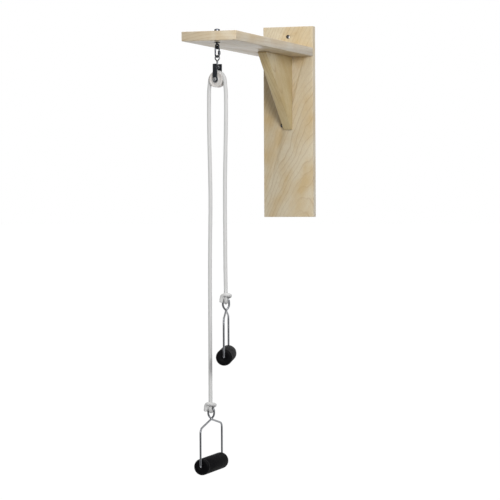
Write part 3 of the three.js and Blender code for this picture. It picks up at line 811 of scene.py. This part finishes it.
def moulded_black_polyethylene(add):
    """Injection-moulded polyethylene. It gives a plain near-black with a fine spark-eroded grain and scuffed,
    greyer edges."""
    place, _, rough = clouded(add, 9 * MM, 0.38, 0.55, detail=3)
    # Grain is drawn 0.6 mm, about three times the mould's
    grain = add("ShaderNodeTexNoise", {"Vector": place, "Scale": 1 / (0.6 * MM), "Detail": 2})
    scuff = add("ShaderNodeMath", {0: edge_mask(add, 0.8 * MM), 1: grain}, operation="MULTIPLY")
    black = colours().cap_plastic
    color = add("ShaderNodeMix", {0: scuff, 6: black, 7: shade(black, 3.2)}, data_type="RGBA", out=2)
    bump = add("ShaderNodeBump", {"Height": grain, "Strength": 0.25, "Distance": 0.05 * MM})
    return add("ShaderNodeBsdfPrincipled", {
        "Base Color": color, "Roughness": rough, "Normal": bump, "IOR": 1.51, "Specular IOR Level": 0.06,
    })


def dress_solids(nodes, maker, rounding, angle=30):
    """Gives solids of the frame their finish, and rounds their edges."""
    for node in nodes:
        solid = frame["nodes"][node]
        solid.data.materials.clear()
        solid.data.materials.append(finish(maker))
        solid.data.shade_smooth()
        solid.modifiers.new("weld", "WELD").merge_threshold = WELD_DISTANCE
        bevel = solid.modifiers.new("edges", "BEVEL")
        bevel.width, bevel.segments, bevel.harden_normals = rounding, 2, True
        bevel.limit_method, bevel.angle_limit = "ANGLE", math.radians(angle)


class PULLEY_OT_camera(bpy.types.Operator):
    """Places the camera where the photograph was taken from"""

    bl_idname = "pulley.camera"
    bl_label = "Camera"

    def execute(self, context):
        data = bpy.data.cameras.new("camera")
        data.sensor_width = SENSOR_MM
        data.lens = FOCAL_PIXELS * SENSOR_MM / IMAGE_SIZE
        camera = new_object("camera", data)
        camera.matrix_world = Matrix.Translation(CAMERA_PLACE)
        for turn, axis in ((CAMERA_YAW, "Z"), (math.pi / 2 + CAMERA_PITCH, "X"), (CAMERA_ROLL, "Z")):
            camera.matrix_world = camera.matrix_world @ Matrix.Rotation(turn, 4, axis)
        context.scene.camera = camera
        return {"FINISHED"}


def rope_path(side, fall):
    """From the top of the sheave, over one quarter of it and down one fall."""
    middle, end = ROPE_RISE - ROPE_BEND_RADIUS, 90 - side * (90 - ROPE_LEAN_DEGREES)
    over = arc_points(0, middle, ROPE_BEND_RADIUS, 90, end, ROPE_ARC_STEPS)
    place = on_joint("sheave_spin")
    return [place @ point for point in smooth_path(standing(over + fall), ROPE_STEP)]


def ease(share):
    """A share that starts and ends slowly."""
    return share * share * (3 - 2 * share)


def knot_path():
    """The knot's line about the middle of the wire that it hangs on, where the wire runs along X."""
    rope = sizes().rope
    bight = sizes().stirrup_wire / 2 + BIGHT_GAP + rope / 2
    wrap = rope + WRAP_GAP
    top = KNOT_RISE + KNOT_CLIMB + rope / 2 + KNOT_NECK
    # Down the standing part, and back to behind the wire
    points = [(0, -KNOT_OFFSET, top), (0, -KNOT_OFFSET, (top + KNOT_BEND) / 2)]
    for step in range(6):
        share = step / 6
        points.append((0, -KNOT_OFFSET - (bight - KNOT_OFFSET) * ease(share), KNOT_BEND * (1 - share)))
    # Under the wire, and up in front of it
    for step in range(12):
        angle = math.pi * (1 + step / 12)
        points.append((0, bight * math.cos(angle), bight * math.sin(angle)))
    # Aside, into the turn
    for step in range(6):
        share = step / 6
        angle = math.pi / 2 * share
        radius = bight + KNOT_OFFSET + (wrap - bight - KNOT_OFFSET) * ease(share)
        azimuth = math.pi / 2 - KNOT_LEAD_IN * (1 - math.cos(angle))
        points.append((
            radius * math.cos(azimuth), radius * math.sin(azimuth) - KNOT_OFFSET, KNOT_RISE * math.sin(angle),
        ))
    # About the standing part
    for step in range(8):
        share = step / 7
        azimuth = math.pi / 2 - KNOT_LEAD_IN - 2 * math.pi * KNOT_TURNS * share
        height = KNOT_RISE + KNOT_CLIMB * math.sin(math.pi / 2 * share)
        points.append((wrap * math.cos(azimuth), wrap * math.sin(azimuth) - KNOT_OFFSET, height))
    # The tail, folded down
    onward = Vector((math.sin(azimuth), -math.cos(azimuth), 0))
    front = Vector(points[-1])
    for step in range(1, 6):
        share = step / 5
        angle = TAIL_FOLD * share
        fold = Vector((0, TAIL_DRIFT * share, TAIL_BEND * (math.cos(angle) - 1)))
        points.append(front + onward * TAIL_BEND * math.sin(angle) + fold)
    down = Vector((0, 0, -math.sin(TAIL_FOLD))) + onward * math.cos(TAIL_FOLD)
    folded = points[-1]
    points += [folded + down * TAIL_LENGTH / 2, folded + down * TAIL_LENGTH]
    return smooth_path(points, ROPE_STEP)


class PULLEY_OT_rope(bpy.types.Operator):
    """Makes the rope as two lengths that meet on top of the sheave, each with the knot at its end"""

    bl_idname = "pulley.rope"
    bl_label = "Rope and knots"

    def execute(self, context):
        rope, sides = sizes().rope, sizes().rope_sides
        lengths = {
            "long": ("lower", rope_path(-1, LONG_FALL), ("rope_long_fall", "rope_wrap")),
            "short": ("upper", rope_path(1, SHORT_FALL), ("rope_short_fall",)),
        }
        for name, (handle, path, nodes) in lengths.items():
            work = tube(knot_path(), rope, sides, handle_place(handle), end_ease=TAIL_EASE, relief=braid)
            knot = new_piece(
                f"{handle}_tied_knot", work, braided_cotton, f"{handle}_end",
                [f"{handle}_knot"], sharp_angle=60,
            )
            piece = new_piece(
                f"rope_{name}", tube(path, rope, sides, relief=braid), braided_cotton, None,
                nodes, sharp_angle=60,
            )
            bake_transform(piece)
        return {"FINISHED"}


class PULLEY_OT_stage(bpy.types.Operator):
    """Makes the floor, the lamps and the studio round the pulley"""

    bl_idname = "pulley.stage"
    bl_label = "Stage"

    def execute(self, context):
        work = bmesh.new()
        bmesh.ops.create_grid(work, x_segments=1, y_segments=1, size=FLOOR_SIZE)
        mesh = bpy.data.meshes.new("floor")
        work.to_mesh(mesh)
        work.free()
        floor = new_object("floor", mesh)
        lowest = SOLIDS_BOX[0][2] + joint("lower_travel")["range_m"][0]
        floor.location = (0, FLOOR_SIZE - FLOOR_FRONT, lowest - FLOOR_GAP)
        mesh.materials.append(finish(white_paper_floor))
        for name, place, watts, width in LAMPS:
            light = bpy.data.lights.new(name, "AREA")
            light.shape, light.size, light.energy = "DISK", width, watts
            lamp = new_object(name, light)
            lamp.location = place
            lamp.rotation_euler = (Vector(LAMP_AIM) - Vector(place)).to_track_quat("-Z", "Y").to_euler()
        studio_world(context.scene)
        context.scene.view_settings.view_transform = "Standard"
        return {"FINISHED"}


def white_paper_floor(add):
    """Matt white background paper. It shows plain white, and keeps a part of the shadow."""
    path = add("ShaderNodeLightPath", out=None)
    seen = add("ShaderNodeMath", {0: path["Is Camera Ray"], 1: path["Is Glossy Ray"]}, operation="MAXIMUM")
    seen = add("ShaderNodeMath", {0: seen, 1: path["Is Transmission Ray"]}, operation="MAXIMUM")
    share = add("ShaderNodeMath", {0: seen, 1: PAPER_GLOW_SHARE}, operation="MULTIPLY")
    paper = add("ShaderNodeBsdfDiffuse", {"Color": linear(PAPER_COLOUR)})
    glow = add("ShaderNodeEmission", {"Color": (1, 1, 1, 1), "Strength": PAPER_GLOW})
    return add("ShaderNodeMixShader", {0: share, 1: paper, 2: glow})


def studio_world(scene):
    """An even soft room. What sees it directly or through a reflection finds the white backdrop behind the
    pulley and white overhead, and the darker room on the camera's side."""
    world = bpy.data.worlds.new("studio")
    world.use_nodes = True
    world.node_tree.nodes.clear()
    add = partial(add_node, world.node_tree)
    path = add("ShaderNodeLightPath", out=None)
    direction = add("ShaderNodeTexCoord", out="Generated")
    axes = add("ShaderNodeSeparateXYZ", {0: direction}, out=None)
    wall = add("ShaderNodeMapRange", {"Value": axes[1], 1: -0.2, 2: 0.15, 3: 0.1, 4: 1})
    overhead = add("ShaderNodeMapRange", {"Value": axes[2], 1: 0.55, 2: 0.8, 3: 0, 4: 1})
    reflected = add("ShaderNodeMath", {0: wall, 1: overhead}, operation="MAXIMUM")
    soft = add("ShaderNodeMapRange", {"Value": axes[2], 1: -0.4, 2: 0.2, 3: 0.19, 4: 0.45})
    strength = add("ShaderNodeMix", {0: path["Is Glossy Ray"], 2: soft, 3: reflected})
    seen = add("ShaderNodeMath", {
        0: path["Is Camera Ray"], 1: path["Is Transmission Ray"],
    }, operation="MAXIMUM")
    strength = add("ShaderNodeMix", {0: seen, 2: strength, 3: 1.0})
    room = add("ShaderNodeBackground", {"Color": (1, 1, 1, 1), "Strength": strength})
    add("ShaderNodeOutputWorld", {"Surface": room}, out=None)
    scene.world = world


class PULLEY_OT_stirrups(bpy.types.Operator):
    """Bends the wire of both stirrups, from foot to foot through the eye"""

    bl_idname = "pulley.stirrups"
    bl_label = "Stirrups"

    def execute(self, context):
        wire = sizes().stirrup_wire
        side, eye, cross = STIRRUP_WIDTH / 2, EYE_WIDTH / 2, (wire + CROSSING_GAP) / 2
        near = [
            ((0, STIRRUP_INTURN - side, -STIRRUP_HEIGHT), 0),
            ((0, -side, -STIRRUP_HEIGHT), FOOT_BEND),
            ((0, -side, -SHOULDER_DROP), SHOULDER_BEND),
            ((0, -cross, -CROSSING_DROP), CROSSING_BEND),
            ((eye, 0, -EYE_THROAT), THROAT_BEND),
            ((eye, 0, 0), eye),
        ]
        far = [((-x, -y, z), bend) for (x, y, z), bend in reversed(near)]
        path = bent_path(near + far, STIRRUP_STEP)
        for name in ("lower", "upper"):
            work = tube(path, wire, sizes().wire_sides, handle_place(name), end_ease=FOOT_EASE)
            new_piece(
                f"{name}_bent_wire", work, chrome_plated_wire, f"{name}_stirrup",
                [f"{name}_stirrup"],
            )
        return {"FINISHED"}


class PULLEY_OT_grips(bpy.types.Operator):
    """Makes the foam sleeves and end caps, and finishes the core tubes"""

    bl_idname = "pulley.grips"
    bl_label = "Grips"

    def execute(self, context):
        outer, face, sides = sizes().grip / 2, GRIP_LENGTH / 2, sizes().turned_sides
        bore = CORE_DIAMETER / 2 + CLEARANCE
        end = face - CAP_RIM - CLEARANCE
        lower_half = [(bore, -end), *arc_points(outer - GRIP_EASE, GRIP_EASE - end, GRIP_EASE, -90, 0, 5)]
        foam = lower_half + mirrored(lower_half)
        hole = sizes().stirrup_wire / 2 + CLEARANCE
        spigot = CORE_DIAMETER / 2 - CORE_WALL - CLEARANCE
        cap = [
            (hole, face - CAP_DISH_DEPTH), (hole + CAP_DISH_FLAT, face - CAP_DISH_DEPTH),
            (hole + CAP_DISH_TURN, face - 0.8 * CAP_DISH_DEPTH),
            (CAP_DISH - CAP_DISH_LIP, face - 0.12 * CAP_DISH_DEPTH), (CAP_DISH, face),
            *arc_points(outer - CAP_ROUND, face - CAP_ROUND, CAP_ROUND, 90, 0, 10),
            (outer, face - CAP_RIM + CAP_EASE), (outer - CAP_EASE, face - CAP_RIM), (spigot, face - CAP_RIM),
            (spigot, face - CAP_RIM - CAP_SPIGOT), (hole, face - CAP_RIM - CAP_SPIGOT),
        ]
        for name in ("lower", "upper"):
            place = on_joint(f"{name}_grip_spin")
            sleeve = new_piece(
                f"{name}_foam_sleeve", turn_profile(foam, sides, place @ LAID), skinned_foam,
                f"{name}_grip", [f"{name}_foam_grip"],
            )
            for end_name, turn in (("far", 0), ("near", math.pi)):
                work = turn_profile(cap, sides, place @ Matrix.Rotation(turn, 4, "Z") @ LAID)
                new_piece(
                    f"{name}_{end_name}_end_cap", work, moulded_black_polyethylene,
                    f"{name}_grip", [f"{name}_cap_{end_name}"], sharp_angle=40,
                )
            dress_solids([f"{name}_core_tube"], moulded_black_polyethylene, CORE_ROUNDING)
        return {"FINISHED"}


class PULLEY_OT_sheave(bpy.types.Operator):
    """Turns the nylon sheave, with its rope groove and dished sides"""

    bl_idname = "pulley.sheave"
    bl_label = "Sheave"

    def execute(self, context):
        outer, side = SHEAVE_DIAMETER / 2, SHEAVE_WIDTH / 2
        floor, hub, rim = side - SHEAVE_RECESS, SHEAVE_HUB / 2, outer - SHEAVE_RIM
        half = soften([
            (SHEAVE_BORE / 2, 0), (SHEAVE_BORE / 2, side), (hub, side), (hub + SHEAVE_RECESS, floor),
            (rim - SHEAVE_RECESS, floor), (rim, side), (outer - SHEAVE_EDGE, side),
            (outer, side - SHEAVE_EDGE), (outer, GROOVE_RADIUS + GROOVE_FLARE), (ROPE_RISE, GROOVE_RADIUS),
        ], SHEAVE_SOFTNESS)
        groove = arc_points(ROPE_RISE, 0, GROOVE_RADIUS, 90, 270, 20)[1:-1]
        work = turn_profile(half + groove + mirrored(half[1:]), SHEAVE_SIDES, on_joint("sheave_spin") @ LAID)
        new_piece("nylon_sheave", work, moulded_nylon, "sheave", ["sheave"])
        return {"FINISHED"}


class PULLEY_OT_block(bpy.types.Operator):
    """Finishes the cheek straps, washers, spacers and bushing, and makes the two rivets"""

    bl_idname = "pulley.block"
    bl_label = "Pulley block"

    def execute(self, context):
        dress_solids(("cheek_near", "cheek_far"), painted_black_steel, CHEEK_ROUNDING, angle=40)
        plated = ("axle_bushing", "axle_washer_near", "axle_washer_far")
        dress_solids(plated, bright_zinc_steel, THIN_ROUNDING, angle=40)
        dress_solids(("spacer_near", "spacer_far"), black_zinc_steel, THIN_ROUNDING, angle=40)
        rivets = {
            "cross": (CROSS_RIVET, painted_black_steel, "black_steel", on_joint("block_swing")),
            "axle": (AXLE_RIVET, bright_zinc_steel, "zinc_steel", on_joint("sheave_spin")),
        }
        for name, ((shank, head, dome), maker, slot, place) in rivets.items():
            edge = RIVET_EDGE * dome
            arc = arc_points(0, 0, 1, 0, 90, RIVET_STEPS)[:-1]
            half = [
                (shank / 2, RIVET_SEAT), (head / 2, RIVET_SEAT),
                *[(head / 2 * out, RIVET_SEAT + edge + (dome - edge) * up) for out, up in arc],
                (0, RIVET_SEAT + dome),
            ]
            work = turn_profile(half + mirrored(half), SMALL_SIDES, place @ LAID)
            new_piece(f"domed_{name}_rivet", work, maker, "block", [f"{name}_rivet"])
        return {"FINISHED"}


class PULLEY_OT_hanger(bpy.types.Operator):
    """Forms the wire hanger: an eye, a shank and the ring on the cross rivet"""

    bl_idname = "pulley.hanger"
    bl_label = "Hanger"

    def execute(self, context):
        wire, sides = sizes().hanger_wire, sizes().wire_sides
        place = on_joint("block_swing")
        eye = smooth_path([point * MM for point in standing(HANGER_EYE)], WIRE_STEP, closed=True)
        work = tube(eye, wire, sides, place, closed=True)
        tube(circle(HANGER_RING_RADIUS, 40), wire, sides, place, closed=True, work=work)
        # From the ring, tapered in to the neck where the eye's wires meet
        low, high, shank = HANGER_RING_RADIUS, HANGER_NECK, HANGER_SHANK / 2
        turn_profile([
            (0, low), (wire / 2, low), (shank, low + 1.2 * MM), (shank, high - 1.4 * MM),
            (shank * 0.86, high - 0.5 * MM), (wire / 2.4, high + 0.7 * MM), (0, high + 0.9 * MM),
        ], THREAD_SIDES, place, work=work)
        new_piece("wire_hanger", work, chrome_plated_wire, "hanger", ["hanger"])
        return {"FINISHED"}


class PULLEY_OT_quick_link(bpy.types.Operator):
    """Bends the quick link's wire and turns its knurled sleeve"""

    bl_idname = "pulley.quick_link"
    bl_label = "Quick link"

    def execute(self, context):
        wire = sizes().link_wire
        place = on_bolt(LINK_TURN)
        low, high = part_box("quick_link")
        top, bottom = high.z - wire / 2 - LINK_RADIUS, low.z + wire / 2 + LINK_RADIUS
        line = [(LINK_RADIUS, bottom + LINK_OPENING[1])]
        for centre, start in ((top, 0), (bottom, 180)):
            line += arc_points(0, centre, LINK_RADIUS, start, start + 180, LINK_STEPS)
        line.append((LINK_RADIUS, bottom + LINK_OPENING[0]))
        path = evenly(standing(line), WIRE_STEP)
        work = tube(path, wire, sizes().wire_sides, place, end_ease=LINK_EASE)
        new_piece("bent_quick_link", work, black_zinc_steel, "link", ["quick_link"])

        low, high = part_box("link_sleeve")
        outer, bore, half = SLEEVE_DIAMETER / 2, SLEEVE_BORE / 2, (high.z - low.z) / 2

        def knurled(point):
            """Lowers every other flute of the knurled middle."""
            flute = round(math.atan2(point.y, point.x) / (2 * math.pi) * SMALL_SIDES)
            near_end = abs(point.z) > half - (SLEEVE_PLAIN + SLEEVE_KNURLED) / 2
            if near_end or point.xy.length < (outer + bore) / 2 or flute % 2:
                return point
            return Vector((point.x * SLEEVE_FLUTE, point.y * SLEEVE_FLUTE, point.z))

        lower_half = [
            (bore, -half), (outer - SLEEVE_EASE, -half), (outer, SLEEVE_EASE - half),
            (outer, SLEEVE_PLAIN - half), (outer, SLEEVE_KNURLED - half),
        ]
        place = Matrix.Translation((low + high) / 2)
        work = turn_profile(lower_half + mirrored(lower_half), SMALL_SIDES, place, reshape=knurled)
        new_piece(
            "knurled_sleeve", work, black_zinc_steel, "link_sleeve", ["link_sleeve"],
            sharp_angle=30,
        )
        return {"FINISHED"}


class PULLEY_OT_eye_bolt(bpy.types.Operator):
    """Makes the eye bolt with its rolled thread, and finishes the nut and washers"""

    bl_idname = "pulley.eye_bolt"
    bl_label = "Eye bolt"

    def execute(self, context):
        place = on_bolt(EYE_TURN)
        low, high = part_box("eye_bolt")
        centre = low.z + EYE_WIRE / 2 + EYE_RADIUS
        work = tube(circle(EYE_RADIUS, 48, centre), EYE_WIRE, sizes().wire_sides, place, closed=True)
        crest, root = BOLT_DIAMETER / 2, BOLT_DIAMETER / 2 - 0.6 * THREAD_PITCH
        start, height = centre + EYE_RADIUS, high.z - THREAD_LENGTH
        profile = [(0, start), (EYE_WIRE / 2, start), (crest, start + BOLT_TAPER), (crest, height)]
        # The thread is drawn as rings, which look the same as a helix of 1 mm pitch
        while height + THREAD_PITCH < high.z - THREAD_LEAST_END:
            profile += [(root, height + 0.5 * THREAD_PITCH), (crest, height + THREAD_PITCH)]
            height += THREAD_PITCH
        profile += [(root, high.z), (0, high.z)]
        turn_profile(profile, THREAD_SIDES, place, work=work)
        new_piece(
            "threaded_eye_bolt", work, black_zinc_steel, "bracket", ["eye_bolt"],
            sharp_angle=40,
        )
        dress_solids(["eye_bolt_nut"], black_zinc_steel, NUT_ROUNDING, angle=25)
        dress_solids(("top_washer", "under_washer"), black_zinc_steel, WASHER_ROUNDING, angle=40)
        return {"FINISHED"}


class PULLEY_OT_screws(bpy.types.Operator):
    """Turns the seven countersunk wood screws, each with a cross recess"""

    bl_idname = "pulley.screws"
    bl_label = "Wood screws"

    def execute(self, context):
        def recessed(point):
            """Lowers the flat of the head inside the cross."""
            near, far = sorted((abs(point.x), abs(point.y)))
            if point.z == 0 and near < RECESS_WIDTH / 2 and far < RECESS_REACH:
                return Vector((point.x, point.y, -RECESS_DEPTH * (1 - 0.6 * far / RECESS_REACH)))
            return point

        for item in frame["record"]["subparts"]:
            node = item["node"]
            if "_screw_" not in node:
                continue
            low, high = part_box(node)
            middle, span = (low + high) / 2, high - low
            if span.z > span.y:
                place = Matrix.Translation((middle.x, middle.y, high.z))
            else:
                place = Matrix.Translation((middle.x, high.y, middle.z)) @ LAID
            shank, head, end = SCREW_SHANK / 2, SCREW_HEAD / 2, -max(span)
            profile = [
                *[(head * step / 16, 0) for step in range(16)],
                (head - SCREW_EDGE, 0), (head, -SCREW_RIM), (shank, -SCREW_HEAD_DEPTH),
                (shank, SCREW_POINT + end), (SCREW_TIP, end), (0, end),
            ]
            work = turn_profile(profile, SCREW_SIDES, place, reshape=recessed)
            new_piece(
                f"{node}_cross_head", work, bright_zinc_steel, "bracket", [node],
                sharp_angle=35,
            )
        return {"FINISHED"}


class PULLEY_OT_boards(bpy.types.Operator):
    """Finishes the back board, the arm and the brace in maple"""

    bl_idname = "pulley.boards"
    bl_label = "Boards"

    def execute(self, context):
        dress_solids(["back_board"], planed_maple_back_board, BOARD_ROUNDING)
        dress_solids(["arm_board"], planed_maple_arm, BOARD_ROUNDING)
        dress_solids(["brace"], planed_maple_brace, BOARD_ROUNDING)
        return {"FINISHED"}


OPERATORS = [
    PULLEY_OT_camera, PULLEY_OT_rope, PULLEY_OT_stage, PULLEY_OT_boards, PULLEY_OT_screws, PULLEY_OT_eye_bolt,
    PULLEY_OT_quick_link, PULLEY_OT_hanger, PULLEY_OT_block, PULLEY_OT_sheave, PULLEY_OT_stirrups,
    PULLEY_OT_grips,
]


class PULLEY_PT_pieces(bpy.types.Panel):
    """The pieces of the pulley, and their sizes and colours"""

    bl_label = "Overhead Exercise Pulley"
    bl_space_type = "VIEW_3D"
    bl_region_type = "UI"
    bl_category = "Pulley"

    def draw(self, context):
        for group in (context.scene.pulley_sizes, context.scene.pulley_colours):
            box = self.layout.box()
            for name in group.__annotations__:
                box.prop(group, name)
        for operator in OPERATORS:
            self.layout.operator(operator.bl_idname)


CLASSES = [PulleySizes, PulleyColours, *OPERATORS, PULLEY_PT_pieces]


def register():
    for item in CLASSES:
        bpy.utils.register_class(item)
    bpy.types.Scene.pulley_sizes = PointerProperty(type=PulleySizes)
    bpy.types.Scene.pulley_colours = PointerProperty(type=PulleyColours)


def unregister():
    del bpy.types.Scene.pulley_colours
    del bpy.types.Scene.pulley_sizes
    for item in reversed(CLASSES):
        bpy.utils.unregister_class(item)


def main():
    register()
    bpy.ops.pulley.camera()
    bpy.ops.pulley.rope()
    bpy.ops.pulley.stage()
    bpy.ops.pulley.boards()
    bpy.ops.pulley.screws()
    bpy.ops.pulley.eye_bolt()
    bpy.ops.pulley.quick_link()
    bpy.ops.pulley.hanger()
    bpy.ops.pulley.block()
    bpy.ops.pulley.sheave()
    bpy.ops.pulley.stirrups()
    bpy.ops.pulley.grips()


if __name__ == "__main__":
    main()
